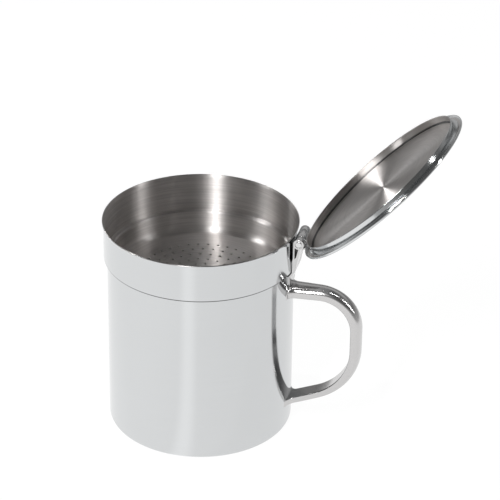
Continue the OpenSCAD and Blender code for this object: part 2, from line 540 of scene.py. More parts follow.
@dataclass(frozen=True)
class CreaseShade:
    """Painted shade along the ring-shaped joint of two turned pieces: the steel's colour is darkened
    there to stand in for the shadow in the crease.

    Attributes:
        radius: Radius of the joint.
        height: Height of the joint on the lathe's axis.
        reach: Distance from the joint at which the painted shade ends.
        core: Share of the reach that is fully shaded.
        shade: Brightness of the colour in the fully shaded part.
    """

    radius: float
    height: float
    reach: float
    core: float = 0.55
    shade: float = 0.06

    def tone(self, board: Board, place: Signal) -> Signal:
        """Brightness that the painted shade leaves in the steel's colour beside the joint.

        Args:
            board: Board of the steel's material.
            place: Place on the piece, with the lathe's axis on Z.

        Returns:
            The shade at the joint, rising to 1 at its reach.
        """
        x, y, z = board.split(place)
        across = distance(x, y, ON_AXIS) - self.radius
        clear = distance(across, z - self.height).ramp(self.reach * self.core, self.reach)
        # Painted shade: the colour is darkest at the joint and clear again at the reach
        return self.shade + (1.0 - self.shade) * clear


@dataclass(frozen=True)
class SteelFinish:
    """One surface finish of the steel, with the marks that the work on it left.

    Depths are in metres and scales in waves to the metre.

    Attributes:
        name: Name of the material.
        colour: Base colour.
        roughness: Mean roughness.
        spread: How far the strokes draw a highlight out across them.
        grain: Scale of the strokes.
        grain_depth: Depth of the strokes.
        tone_change: How much the strokes change the brightness.
        ripple_depth: Depth of the sheet's slow waves.
        smudge: Roughness that a hazy patch adds.
        scratch: Roughness that a scratch adds.
        turned: True where the strokes run in rings about the lathe's axis.
        grain_rough: Share of the roughness that changes with the strokes.
        cloud_scale: Scale of the slow waves.
        haze_scale: Scale of the hazy patches.
        hazy: Levels of haze between which a patch sets in.
        scratched: Levels of haze between which scratches set in.
        scratch_scale: Scale of the noise whose middle line a scratch follows.
        scratch_bend: How much that line winds.
        scratch_fineness: How narrow a scratch is.
        scratch_depth: Depth of a scratch.
        wall_share: How fast strokes pass along a wall, beside 1 across a disc.
        arc_share: How fast a stroke changes along its ring.
    """

    name: str
    colour: tuple[float, float, float]
    roughness: float
    spread: float
    grain: float
    grain_depth: float
    tone_change: float
    ripple_depth: float
    smudge: float
    scratch: float
    turned: bool = True
    grain_rough: float = 0.25
    cloud_scale: float = 42.0
    haze_scale: float = 15.0
    hazy: Point = (0.42, 0.70)
    scratched: Point = (0.52, 0.72)
    scratch_scale: float = 260.0
    scratch_bend: float = 2.2
    scratch_fineness: float = 60.0
    scratch_depth: float = 0.004 * MM
    wall_share: float = 0.83
    arc_share: float = 1.6

    def material(
        self, to_axis: Matrix | None = None, seam: CreaseShade | None = None
    ) -> bpy.types.Material:
        """Builds the node material.

        Args:
            to_axis: Turns the object's coordinates so that the lathe's axis is Z through 0.
            seam: Joint beside which shade is painted into the steel's colour.

        Returns:
            The material.
        """
        made = bpy.data.materials.new(self.name)
        board = Board.cleared(made)
        place = self.lathe_place(board, to_axis)
        grain = self.strokes(board, place) - 0.5
        cloud = board.noise(place, self.cloud_scale, 3.0)
        haze = board.noise(place, self.haze_scale, 4.0)
        scratch = self.scratches(board, place) * haze.ramp(*self.scratched)
        tone = 1.0 + grain * self.tone_change + (cloud - 0.5) * (0.5 * self.tone_change)
        # Painted shade: darkens the base colour beside the joint of a crease
        if seam is not None:
            tone = tone * seam.tone(board, place)
        rough = (
            self.roughness
            + haze.ramp(*self.hazy) * self.smudge
            + grain * (self.grain_rough * self.roughness)
            + scratch * self.scratch
        )
        depth = grain * self.grain_depth + cloud * self.ripple_depth - scratch * self.scratch_depth
        colour = {0: self.colour, "Scale": tone}
        bump = {"Strength": 1.0, "Distance": 1.0, "Height": depth}
        shader = board.add(
            "ShaderNodeBsdfPrincipled",
            {},
            {
                "Base Color": board.add("ShaderNodeVectorMath", {"operation": "SCALE"}, colour),
                "Metallic": 1.0,
                "Roughness": rough,
                "Anisotropic": self.spread,
                "Anisotropic Rotation": 0.25,
                "Normal": board.add("ShaderNodeBump", {}, bump),
            },
        )
        board.place("ShaderNodeOutputMaterial", {}, {"Surface": shader})
        return made

    @staticmethod
    def lathe_place(board: Board, to_axis: Matrix | None) -> Signal:
        """Place on the piece, with the lathe's axis on Z.

        Args:
            board: Board of the material.
            to_axis: Turns the object's coordinates there, None where they are there already.

        Returns:
            The place as a vector.
        """
        place = board.add("ShaderNodeTexCoord", {}, {}, "Object")
        if to_axis is None:
            return place
        turn = {"Location": to_axis.to_translation(), "Rotation": to_axis.to_euler()}
        return board.add("ShaderNodeMapping", {"vector_type": "POINT"}, {"Vector": place, **turn})

    def strokes(self, board: Board, place: Signal) -> Signal:
        """Fine lines: rings about the axis on a turned piece, soft flecks on any other.

        Args:
            board: Board of the material.
            place: Place on the piece, with the lathe's axis on Z.

        Returns:
            The lines, between 0 and 1.
        """
        if not self.turned:
            return board.noise(place, self.grain, 2.0)
        x, y, z = board.split(place)
        radius = distance(x, y, ON_AXIS)
        along = (radius + z * self.wall_share) * self.grain
        ring = board.combine(x / radius * self.arc_share, y / radius * self.arc_share, along)
        return board.noise(ring, 1.0, 3.0)

    def scratches(self, board: Board, place: Signal) -> Signal:
        """Thin winding lines, 1 in their middle and 0 beside them."""
        marks = board.noise(place, self.scratch_scale, 1.0, self.scratch_bend)
        return (1.0 - (marks - 0.5).size() * self.scratch_fineness).larger(0.0)


class Finish(Enum):
    """The finishes of this container."""

    POLISHED_WALL = SteelFinish(
        name="polished_wall",
        colour=(0.665, 0.677, 0.684),
        roughness=0.10,
        spread=0.50,
        grain=1500.0,
        grain_depth=0.0012 * MM,
        tone_change=0.03,
        ripple_depth=0.012 * MM,
        smudge=0.03,
        scratch=0.05,
    )
    TURNED_INSIDE = SteelFinish(
        name="turned_inside",
        colour=(0.60, 0.578, 0.565),
        roughness=0.41,
        spread=1.0,
        grain=1150.0,
        grain_depth=0.06 * MM,
        tone_change=0.55,
        ripple_depth=0.02 * MM,
        smudge=0.03,
        scratch=0.06,
    )
    TURNED_LID = SteelFinish(
        name="turned_lid",
        colour=(0.60, 0.575, 0.56),
        roughness=0.32,
        spread=1.0,
        grain=1150.0,
        grain_depth=0.04 * MM,
        tone_change=0.50,
        ripple_depth=0.02 * MM,
        smudge=0.02,
        scratch=0.05,
    )
    TURNED_SIEVE = SteelFinish(
        name="turned_sieve",
        colour=(0.58, 0.56, 0.55),
        roughness=0.44,
        spread=0.70,
        grain=1200.0,
        grain_depth=0.05 * MM,
        tone_change=0.45,
        ripple_depth=0.02 * MM,
        smudge=0.03,
        scratch=0.06,
    )
    BUFFED_BAR = SteelFinish(
        name="buffed_bar",
        colour=(0.64, 0.632, 0.63),
        roughness=0.20,
        spread=0.0,
        grain=900.0,
        grain_depth=0.0015 * MM,
        tone_change=0.08,
        ripple_depth=0.02 * MM,
        smudge=0.02,
        scratch=0.02,
        turned=False,
    )
    FOLDED_STRIP = SteelFinish(
        name="folded_strip",
        colour=(0.64, 0.635, 0.635),
        roughness=0.20,
        spread=0.0,
        grain=1500.0,
        grain_depth=0.002 * MM,
        tone_change=0.12,
        ripple_depth=0.01 * MM,
        smudge=0.03,
        scratch=0.02,
        turned=False,
    )
    PIN_END = SteelFinish(
        name="pin_end",
        colour=(0.70, 0.70, 0.70),
        roughness=0.20,
        spread=0.0,
        grain=1800.0,
        grain_depth=0.002 * MM,
        tone_change=0.10,
        ripple_depth=0.01 * MM,
        smudge=0.03,
        scratch=0.02,
        turned=False,
    )

    def material(
        self, to_axis: Matrix | None = None, seam: CreaseShade | None = None
    ) -> bpy.types.Material:
        """Builds this finish's node material."""
        return self.value.material(to_axis, seam)


# ---- Turned pieces ----


@dataclass
class Section:
    """Closed half section of a turned piece, drawn in radius and height.

    Attributes:
        points: The points drawn so far.
        support: Distance of a straight line's supporting points from its ends.
    """

    points: list[Point] = field(default_factory=list)
    support: float = 0.35 * MM

    def to(self, radius: float, height: float) -> Section:
        """Draws a straight line, with supporting points at its ends and quarters.

        Args:
            radius: Radius at the line's end.
            height: Height at the line's end.

        Returns:
            The section itself.
        """
        if self.points:
            r0, z0 = self.points[-1]
            length = math.hypot(radius - r0, height - z0)
            if length > 4 * self.support:
                share = self.support / length
                steps = (share, 0.25, 0.5, 0.75, 1 - share)
                self.points += [(r0 + (radius - r0) * s, z0 + (height - z0) * s) for s in steps]
        self.points.append((radius, height))
        return self

    def arc(self, centre: Point, radius: float, start: float, stop: float, steps: int = 10) -> Section:
        """Draws an arc.

        Args:
            centre: Centre, as radius and height.
            radius: Radius of the arc.
            start: First angle in degrees.
            stop: Last angle in degrees.
            steps: Number of chords.

        Returns:
            The section itself.
        """
        for k in range(steps + 1):
            angle = math.radians(start + (stop - start) * k / steps)
            at = (centre[0] + radius * math.cos(angle), centre[1] + radius * math.sin(angle))
            if k == 0:
                self.to(*at)
            else:
                self.points.append(at)
        return self

    def close(self) -> list[Vector]:
        """Closes the section.

        Returns:
            Its loop of points, with no two neighbours in one place.
        """
        first = self.points[0]
        self.to(*first)
        self.points.pop()
        loop = [p for k, p in enumerate(self.points) if math.dist(p, self.points[k - 1]) > ONE_POINT]
        return [Vector((r, 0.0, z)) for r, z in loop]


class Lathe:
    """Spins half sections into closed shells through one Geometry Nodes tree."""

    # How far outwards, as a cosine, a rim's face may look and still take the inner finish
    OUTWARD_LIMIT = 0.6
    # Square of a radius that is taken as the axis where a face's side is told
    AXIS_SQUARE = 1e-12

    def __init__(self) -> None:
        """Builds the tree, which rolls a grid of section points by steps up round Z."""
        board = GeometryBoard(
            "spun_section",
            [
                ("Steps", "NodeSocketInt"),
                ("Inside Faces", "NodeSocketFloat"),
                ("Inside Reach", "NodeSocketFloat"),
                ("Outside Finish", "NodeSocketMaterial"),
                ("Inside Finish", "NodeSocketMaterial"),
            ],
        )
        self.board = board
        section = {"Geometry": board.given("Geometry")}
        count = board.add("GeometryNodeAttributeDomainSize", {}, section, "Point Count")
        steps = board.given("Steps")
        sides = {"Vertices X": count + 1.0, "Vertices Y": steps + 1.0}
        grid = board.add("GeometryNodeMeshGrid", {}, sides, "Mesh")
        index = board.add("GeometryNodeInputIndex", {}, {})
        row = (index / (steps + 1.0)).floor()
        turn = (index % (steps + 1.0)) / steps * math.tau
        position = board.add("GeometryNodeInputPosition", {}, {})
        point = board.add(
            "GeometryNodeSampleIndex",
            {"data_type": "FLOAT_VECTOR", "domain": "POINT"},
            {**section, "Value": position, "Index": row % count},
        )
        radius, _, height = board.split(point)
        spun = board.combine(radius * turn.cosine(), radius * turn.sine(), height)
        shell = board.add("GeometryNodeSetPosition", {}, {"Geometry": grid, "Position": spun})
        shell = board.merge(shell, ONE_POINT)
        shell = board.add("GeometryNodeFlipFaces", {}, {"Mesh": shell})
        board.close(shell, [("Outside Finish", None), ("Inside Finish", self.inner_side(board))])

    @classmethod
    def inner_side(cls, board: GeometryBoard) -> Signal:
        """Selects the faces that take the inner finish.

        Args:
            board: The lathe's board.

        Returns:
            One on faces within Inside Reach that look to the axis or the open side, else zero.
        """
        x, y, _ = board.split(board.add("GeometryNodeInputPosition", {}, {}))
        facing_x, facing_y, facing_z = board.split(board.add("GeometryNodeInputNormal", {}, {}))
        radius = distance(x, y, cls.AXIS_SQUARE)
        outward = (facing_x * x + facing_y * y) / radius
        looks_in = (facing_z * board.given("Inside Faces") - outward).above(-cls.OUTWARD_LIMIT)
        return looks_in * radius.below(board.given("Inside Reach"))

    def spin(
        self,
        name: str,
        section: list[Vector],
        inside_faces: float,
        outside: bpy.types.Material,
        inside: bpy.types.Material,
        steps: int = ROUND_STEPS,
        reach: float = 1.0,
    ) -> bpy.types.Object:
        """Spins one section about Z.

        Args:
            name: Name of the piece.
            section: Closed loop of points, as radius and height.
            inside_faces: 1 where the inside looks up, -1 where it looks down.
            outside: Material of the outer side.
            inside: Material of the inner side.
            steps: Number of facets round the piece.
            reach: Radius past which every face takes the outer finish.

        Returns:
            The piece.
        """
        piece = self.board.run(
            name,
            section,
            {
                "Steps": steps,
                "Inside Faces": inside_faces,
                "Inside Reach": reach,
                "Outside Finish": outside,
                "Inside Finish": inside,
            },
        )
        tidy_shell(piece.data)
        return piece


# ---- Sub-assemblies ----


@dataclass
class Pot:
    """The drawn pot with its flat base.

    Attributes:
        lathe: What spins it.
        radius: Outside radius of the pot.
        height: Height of its rim.
        wall: Its sheet thickness.
        base_round: Outside radius of the corner between wall and base.
        rim_round: Radius of the rim's two edges.
    """

    lathe: Lathe
    radius: float = BODY_R
    height: float = BODY_H
    wall: float = BODY_WALL
    base_round: float = 3.5 * MM
    rim_round: float = 0.3 * MM

    def build(self) -> None:
        """Spins the pot and dresses it."""
        edge = self.rim_round
        corner = (self.radius - self.base_round, self.base_round)
        line = Section().to(0.0, 0.0)
        line.arc(corner, self.base_round, -90, 0)
        line.arc((self.radius - edge, self.height - edge), edge, 0, 90, 5)
        line.arc((self.radius - self.wall + edge, self.height - edge), edge, 90, 180, 5)
        line.arc(corner, self.base_round - self.wall, 0, -90)
        line.to(0.0, self.wall)
        outside = Finish.POLISHED_WALL.material()
        inside = Finish.TURNED_INSIDE.material()
        piece = self.lathe.spin("pot_drawn", line.close(), 1.0, outside, inside)
        show(piece, "pot", "pot_shell")


@dataclass
class Handle:
    """The bent solid bar with its flared roots.

    Attributes:
        body_r: Outside radius of the pot that it is welded to.
        body_h: Height of that pot's rim.
        sink: How far its ends run into the pot's wall.
        drop: From the pot's rim down to the top of the handle.
        reach: From the pot's wall out to the grip's outer side.
        top_t: Thickness of the upper arm.
        grip_t: Thickness of the grip.
        low_t: Thickness of the lower arm.
        top_round: Outside radius of the upper bend.
        straight: Length of the grip between the bends.
        root_low: Height of the lower root's underside.
        slope: Slope of the lower arm.
        grip_w: Width of the grip.
        top_neck: Width of the upper arm just outside its root.
        low_neck: Width of the lower arm just outside its root.
        root_w: Width of both roots at the wall.
        flare: Length over which a root flares.
        taper: Distance from the wall at which an arm is as wide as the grip.
        side_h: Height of the bar's flat sides above its inner face.
        inner_edge: Radius of its two inner edges.
        crown: How far its domed outer face stands above the bar's thickness.
        dome_power: Fullness of the dome, 1 for an ellipse.
        wrap_power: How fast a root leaves the roundness of the wall.
        root_steps: Rings over a root's flare.
        arm_steps: Rings along an arm.
        bend_steps: Rings over a bend.
        dome_steps: Facets over the dome.
        edge_steps: Facets over an inner edge.
    """

    body_r: float = BODY_R
    body_h: float = BODY_H
    sink: float = 0.35 * MM
    drop: float = 12.0 * MM
    reach: float = 42.4 * MM
    top_t: float = 6.0 * MM
    grip_t: float = 5.4 * MM
    low_t: float = 4.2 * MM
    top_round: float = 25.0 * MM
    straight: float = 13.6 * MM
    root_low: float = 15.2 * MM
    slope: float = math.radians(21.8)
    grip_w: float = 10.8 * MM
    top_neck: float = 12.9 * MM
    low_neck: float = 11.0 * MM
    root_w: float = 20.6 * MM
    flare: float = 4.0 * MM
    taper: float = 24.0 * MM
    side_h: float = 3.2 * MM
    inner_edge: float = 0.7 * MM
    crown: float = 0.9 * MM
    dome_power: float = 0.9
    wrap_power: float = 1.5
    root_steps: int = 8
    arm_steps: int = 6
    bend_steps: int = 24
    dome_steps: int = 24
    edge_steps: int = 6

    @property
    def top(self) -> float:
        """Height of the handle's top."""
        return self.body_h - self.drop

    @property
    def outer_x(self) -> float:
        """Distance of the grip's outer side from the pot's axis."""
        return self.body_r + self.reach

    @property
    def low_c_z(self) -> float:
        """Height at which the grip goes over into the lower bend."""
        return self.top - self.top_round - self.straight

    def width(self, x: float, neck: float) -> float:
        """Width of an arm.

        Args:
            x: Distance out from the pot's axis.
            neck: The arm's width just outside its root.

        Returns:
            The width there.
        """
        if x >= self.body_r + self.taper:
            return self.grip_w
        start = self.body_r + self.flare
        if x >= start:
            share = (x - start) / (self.taper - self.flare)
            return neck + (self.grip_w - neck) * share
        back = min(start - x, self.flare)
        rise = self.flare - math.sqrt(max(self.flare**2 - back**2, 0.0))
        return neck + (self.root_w - neck) * rise / self.flare

    def root_curve(self, x: float) -> float:
        """How far a section follows the pot's round wall, 1 at the wall and 0 past the flare."""
        return max(0.0, 1 - (x - self.body_r) / self.flare)

    def lower_bend(self, grip_in: float, low_in: float) -> tuple[float, float, Point]:
        """Finds one side of the lower bend.

        Args:
            grip_in: How far inside the bar's outer side the bend starts, at the grip.
            low_in: How far inside it the bend ends, on the lower arm.

        Returns:
            The bend's radius, the x of its centre and the point where it ends.
        """
        reach = self.reach - grip_in
        rise = self.low_c_z - self.root_low - low_in / math.cos(self.slope)
        rise -= math.tan(self.slope) * reach
        radius = rise * math.cos(self.slope) / (1 - math.sin(self.slope))
        centre = self.outer_x - grip_in - radius
        end_x = centre + radius * math.sin(self.slope)
        return radius, centre, (end_x, self.low_c_z - radius * math.cos(self.slope))

    def down_slope(self, start: Point, share: float) -> Point:
        """A point on the way from the end of the lower bend to the pot's wall."""
        x = start[0] + (self.body_r - start[0]) * share
        return x, start[1] + (x - start[0]) * math.tan(self.slope)

    def upper_arm(self) -> list[list[Vector]]:
        """Sections from the upper root to the start of the upper bend.

        Returns:
            One ring of vertices for each section.
        """
        flare_end = self.body_r + self.flare
        arm = self.outer_x - self.top_round - flare_end
        turns = [math.pi / 2 * k / self.root_steps for k in range(self.root_steps)]
        steps = [self.body_r + self.flare * (1 - math.cos(turn)) for turn in turns]
        steps += [flare_end + arm * k / self.arm_steps for k in range(self.arm_steps)]
        rings = []
        for x in steps:
            outer, inner = (x, self.top), (x, self.top - self.top_t)
            rings.append(self.ring(outer, inner, self.width(x, self.top_neck), self.root_curve(x)))
        return rings

    def upper_bend(self) -> list[list[Vector]]:
        """Sections round the upper bend and down the grip.

        Returns:
            One ring of vertices for each section.
        """
        centre_x = self.outer_x - self.top_round
        inner_r = self.top_round - self.grip_t
        outer_z = self.top - self.top_round
        inner_z = self.top - self.top_t - inner_r
        rings = []
        for k in range(self.bend_steps + 1):
            angle = math.pi / 2 * (1 - k / self.bend_steps)
            c, s = math.cos(angle), math.sin(angle)
            outer = (centre_x + self.top_round * c, outer_z + self.top_round * s)
            inner = (centre_x + inner_r * c, inner_z + inner_r * s)
            width = self.width((outer[0] + inner[0]) / 2, self.top_neck)
            rings.append(self.ring(outer, inner, width, 0.0))
        for share in (0.25, 0.5, 0.75):
            outer = (self.outer_x, outer_z + (self.low_c_z - outer_z) * share)
            inner = (self.outer_x - self.grip_t, inner_z + (self.low_c_z - inner_z) * share)
            rings.append(self.ring(outer, inner, self.grip_w, 0.0))
        return rings

    def lower_side(self) -> list[list[Vector]]:
        """Sections round the lower bend and down the lower arm to its root.

        Returns:
            One ring of vertices for each section.
        """
        outer_r, outer_c, outer_end = self.lower_bend(0.0, 0.0)
        inner_r, inner_c, inner_end = self.lower_bend(self.grip_t, self.low_t)
        pairs: list[tuple[Point, Point]] = []
        for k in range(self.bend_steps + 1):
            angle = (self.slope - math.pi / 2) * k / self.bend_steps
            c, s = math.cos(angle), math.sin(angle)
            outer = (outer_c + outer_r * c, self.low_c_z + outer_r * s)
            pairs.append((outer, (inner_c + inner_r * c, self.low_c_z + inner_r * s)))
        root_share = 0.21
        shares = [k / self.arm_steps * (1 - root_share) for k in range(1, self.arm_steps)]
        turns = [math.pi / 2 * k / self.root_steps for k in range(self.root_steps + 1)]
        shares += [1 - root_share * (1 - math.sin(turn)) for turn in turns]
        pairs += [(self.down_slope(outer_end, s), self.down_slope(inner_end, s)) for s in shares]
        rings = []
        for k, (outer, inner) in enumerate(pairs):
            x = (outer[0] + inner[0]) / 2
            curve = self.root_curve(x) if k > self.bend_steps else 0.0
            rings.append(self.ring(outer, inner, self.width(x, self.low_neck), curve))
        return rings

    def ring(self, outer: Point, inner: Point, width: float, curve: float) -> list[Vector]:
        """Rounded section of the bar between an outer and an inner point.

        Args:
            outer: Outer point, as x and z.
            inner: Inner point, as x and z.
            width: Width of the bar there.
            curve: How far the section follows the pot's round wall, 0 to 1.

        Returns:
            The section's vertices in order.
        """
        span = Vector((outer[0] - inner[0], outer[1] - inner[1]))
        across = span / span.length
        ring = []
        for depth, y in self.outline(span.length, width / 2):
            wrap = math.sqrt(self.body_r**2 - y * y) - self.body_r
            x = inner[0] + across[0] * depth + wrap * curve**self.wrap_power
            ring.append(Vector((x, y, inner[1] + across[1] * depth)))
        return ring

    def outline(self, thick: float, half: float) -> list[Point]:
        """Outline of the bar: a domed outer face, flat sides and two small inner roundings.

        Args:
            thick: Thickness of the bar.
            half: Half of its width.

        Returns:
            Points as height above the inner face and distance to the side.
        """
        edge = self.inner_edge
        side = min(self.side_h, thick - edge)
        dome = thick + self.crown * min(1.0, thick / self.top_t) - side
        loop: list[Point] = []
        for k in range(self.dome_steps + 1):
            angle = math.pi * k / self.dome_steps
            loop.append((side + dome * math.sin(angle) ** self.dome_power, half * math.cos(angle)))
        turns = [90.0 * k / self.edge_steps for k in range(self.edge_steps + 1)]
        loop += [(side + (edge - side) * s, -half) for s in (0.3, 0.7)]
        loop += [self.corner(edge - half, 270.0 - turn) for turn in turns]
        loop += [(0.0, (half - edge) * s) for s in (-0.94, -0.5, 0.0, 0.5, 0.94)]
        loop += [self.corner(half - edge, 180.0 - turn) for turn in turns]
        loop += [(side + (edge - side) * s, half) for s in (0.7, 0.3)]
        return loop

    def corner(self, side: float, angle: float) -> Point:
        """A point on the rounding of an inner edge, at an angle in degrees."""
        edge, turn = self.inner_edge, math.radians(angle)
        return edge + edge * math.cos(turn), side + edge * math.sin(turn)

    def sunk(self, edge: list[Vector], slope: float) -> list[Vector]:
        """Carries an end of the bar on into the pot's wall, so that no gap shows at the weld.

        Args:
            edge: The bar's last ring.
            slope: Rise of the arm for each step out.

        Returns:
            The ring inside the wall.
        """
        ring = []
        for p in edge:
            x = math.sqrt((self.body_r - self.sink) ** 2 - p.y**2)
            ring.append(Vector((x, p.y, p.z + (x - p.x) * slope)))
        return ring

    def build(self) -> None:
        """Sweeps the bar from root to root and dresses it."""
        rings = self.upper_arm() + self.upper_bend() + self.lower_side()
        ends = self.sunk(rings[0], 0.0), self.sunk(rings[-1], math.tan(self.slope))
        work = bmesh.new()
        made = [[work.verts.new(p) for p in ring] for ring in (ends[0], *rings, ends[1])]
        count = len(made[0])
        for a, b in zip(made, made[1:]):
            for k in range(count):
                n = (k + 1) % count
                work.faces.new((a[k], a[n], b[n], b[k]))
        work.faces.new(made[0])
        work.faces.new(made[-1])
        mesh = mesh_from(work, "handle_bar")
        tidy_shell(mesh, 50.0)
        mesh.materials.append(Finish.BUFFED_BAR.material())
        show(put("handle_bar", mesh), "pot", "handle")


@dataclass
class Strainer:
    """The drawn cup with its band, and the sieve in its floor.

    Attributes:
        lathe: What spins the cup.
        pot_r: Outside radius of the pot that it hangs in.
        pot_wall: Sheet thickness of that pot.
        seat_z: Height of the step that rests on the pot's rim.
        band_r: Outside radius of the band.
        rim_flare: How far the rim flares out past the band.
        rim_z: Height of the rim.
        sheet: Sheet thickness of the cup and the sieve.
        sides: Facets round the sieve's edge.
        gap: Gap all round between the cup and the inside of the pot.
        depth: From the rim down to the underside of the floor.
        flare_h: Height over which the rim flares.
        flare_share: Share of the flare's arc that is drawn before the rounded brim.
        lip_round: Radius of the band's lower lip.
        cup_round: Outside radius of the corner between the cup's wall and floor.
        seat_round: Radius of the bend above the cup's wall.
        plate_gap: From the sieve plate's edge out to that corner.
        hole_border: From the cup's outside in to the outermost ring of holes.
        pitch: Distance between rings of holes, and between holes along a ring.
        hole_d: Diameter of a hole.
        hole_sides: Facets round a hole.
        seal: Distance within which the sieve's two faces are joined at an edge.
        rings: Number of rings of holes round the one in the middle.
        shade_in: How far inside the band's outside the painted shade under its lip has its middle.
        shade_low: How far below the pot's rim that middle is.
        shade_reach: How far the painted shade reaches.
    """

    lathe: Lathe
    pot_r: float = BODY_R
    pot_wall: float = BODY_WALL
    seat_z: float = BODY_H
    band_r: float = BAND_R
    rim_flare: float = RIM_FLARE
    rim_z: float = RIM_Z
    sheet: float = SHEET
    sides: int = ROUND_STEPS
    gap: float = 0.4 * MM
    depth: float = 37.0 * MM
    flare_h: float = 3.0 * MM
    flare_share: float = 0.93
    lip_round: float = 1.0 * MM
    cup_round: float = 4.5 * MM
    seat_round: float = 0.4 * MM
    plate_gap: float = 0.1 * MM
    hole_border: float = 18.4 * MM
    pitch: float = 6.1 * MM
    hole_d: float = 1.6 * MM
    hole_sides: int = 14
    seal: float = 1e-6
    rings: int = 6
    shade_in: float = 0.25 * MM
    shade_low: float = 0.1 * MM
    shade_reach: float = 1.3 * MM

    @property
    def cup_r(self) -> float:
        """Outside radius of the cup below its step."""
        return self.pot_r - self.pot_wall - self.gap

    @property
    def floor_z(self) -> float:
        """Height of the floor's underside."""
        return self.rim_z - self.depth

    @property
    def sieve_r(self) -> float:
        """Radius of the sieve plate."""
        return self.cup_r - self.cup_round - self.plate_gap

    def section(self) -> list[Vector]:
        """Half section from the sieve's edge out over the step, up to the rim and back.

        Returns:
            The section's loop of points.
        """
        corner = (self.cup_r - self.cup_round, self.floor_z + self.cup_round)
        seat = (self.cup_r + self.seat_round, self.seat_z - self.seat_round)
        lip = (self.band_r - self.lip_round, self.seat_z + self.lip_round)
        flare_r = (self.flare_h**2 + self.rim_flare**2) / (2 * self.rim_flare)
        flare_end = 180 - math.degrees(math.asin(self.flare_h / flare_r)) * self.flare_share
        flare = (self.band_r + flare_r, self.rim_z - self.flare_h)
        curl = self.sheet / 2
        line = Section().to(self.sieve_r, self.floor_z)
        line.arc(corner, self.cup_round, -90, 0)
        line.arc(seat, self.seat_round, 180, 90, 4)
        line.arc(lip, self.lip_round, -90, 0, 8)
        line.arc(flare, flare_r, 180, flare_end, 6)
        line.arc((self.band_r + self.rim_flare - curl, self.rim_z - curl), curl, -5, 185, 8)
        line.arc(flare, flare_r + self.sheet, flare_end, 180, 6)
        line.arc(lip, self.lip_round - self.sheet, 0, -90, 6)
        line.arc(seat, self.seat_round + self.sheet, 90, 180, 6)
        line.arc(corner, self.cup_round - self.sheet, 0, -90)
        line.to(self.sieve_r, self.floor_z + self.sheet)
        return line.close()

    @staticmethod
    def hole_points(board: GeometryBoard) -> Signal:
        """Loops over the rings of holes, from the outermost in.

        Args:
            board: The sieve's board.

        Returns:
            A point at the middle of each hole.
        """
        middle = board.add("GeometryNodePoints", {}, {"Count": 1, "Position": (0.0, 0.0, 0.0)})
        start = board.place("GeometryNodeRepeatInput", {}, {})
        stop = board.place("GeometryNodeRepeatOutput", {}, {})
        start.pair_with_output(stop)
        board.feed(start, {"Iterations": board.given("Rings"), "Geometry": middle})
        ring = board.out(start, "Iteration")
        radius = board.given("Outer Ring") - ring * board.given("Pitch")
        count = (radius * math.tau / board.given("Pitch")).nearest()
        circle = board.add("GeometryNodeMeshCircle", {}, {"Vertices": count, "Radius": radius})
        turned = board.combine(z=ring * math.pi / count)
        circle = board.add("GeometryNodeTransform", {}, {"Geometry": circle, "Rotation": turned})
        board.feed(stop, {"Geometry": board.join(board.out(start, "Geometry"), circle)})
        return board.out(stop, "Geometry")

    def sieve_tree(self) -> GeometryBoard:
        """Builds the tree that cuts the holes in a round plate and gives it its thickness.

        Returns:
            The finished board.
        """
        board = GeometryBoard(
            "ringed_sieve",
            [
                ("Plate Radius", "NodeSocketFloat"),
                ("Plate Sides", "NodeSocketInt"),
                ("Outer Ring", "NodeSocketFloat"),
                ("Pitch", "NodeSocketFloat"),
                ("Rings", "NodeSocketInt"),
                ("Hole Diameter", "NodeSocketFloat"),
                ("Hole Sides", "NodeSocketInt"),
                ("Height", "NodeSocketFloat"),
                ("Thickness", "NodeSocketFloat"),
                ("Finish", "NodeSocketMaterial"),
            ],
        )
        points = self.hole_points(board)
        circle = "GeometryNodeCurvePrimitiveCircle"
        hole_r = board.given("Hole Diameter") / 2.0
        hole = board.add(circle, {}, {"Resolution": board.given("Hole Sides"), "Radius": hole_r})
        holes = board.add("GeometryNodeInstanceOnPoints", {}, {"Points": points, "Instance": hole})
        plate_r = board.given("Plate Radius")
        edge = board.add(circle, {}, {"Resolution": board.given("Plate Sides"), "Radius": plate_r})
        holes = board.add("GeometryNodeRealizeInstances", {}, {"Geometry": holes})
        outline = {"Curve": board.join(holes, edge)}
        sheet = board.add("GeometryNodeFillCurve", {"mode": "TRIANGLES"}, outline)
        lift = board.combine(z=board.given("Height"))
        sheet = board.add("GeometryNodeTransform", {}, {"Geometry": sheet, "Translation": lift})
        raised = board.add(
            "GeometryNodeExtrudeMesh",
            {"mode": "FACES"},
            {"Mesh": sheet, "Offset Scale": board.given("Thickness"), "Individual": False},
            "Mesh",
        )
        under = board.add("GeometryNodeFlipFaces", {}, {"Mesh": sheet})
        board.close(board.merge(board.join(raised, under), self.seal), [("Finish", None)])
        return board

    def build(self) -> None:
        """Spins the cup, cuts the sieve and dresses both."""
        # Painted shade in the crease under the band's lip, darkening the polished steel's colour
        seam = CreaseShade(self.band_r - self.shade_in, self.seat_z - self.shade_low, self.shade_reach)
        outside = Finish.POLISHED_WALL.material(seam=seam)
        inside = Finish.TURNED_INSIDE.material()
        cup = self.lathe.spin("strainer_drawn", self.section(), 1.0, outside, inside)
        show(cup, "strainer", "strainer_cup")
        sieve = self.sieve_tree().run(
            "strainer_sieve",
            [Vector((0.0, 0.0, 0.0))],
            {
                "Plate Radius": self.sieve_r,
                "Plate Sides": self.sides,
                "Outer Ring": self.cup_r - self.hole_border,
                "Pitch": self.pitch,
                "Rings": self.rings,
                "Hole Diameter": self.hole_d,
                "Hole Sides": self.hole_sides,
                "Height": self.floor_z,
                "Thickness": self.sheet,
                "Finish": Finish.TURNED_SIEVE.material(),
            },
        )
        show(sieve, "strainer")


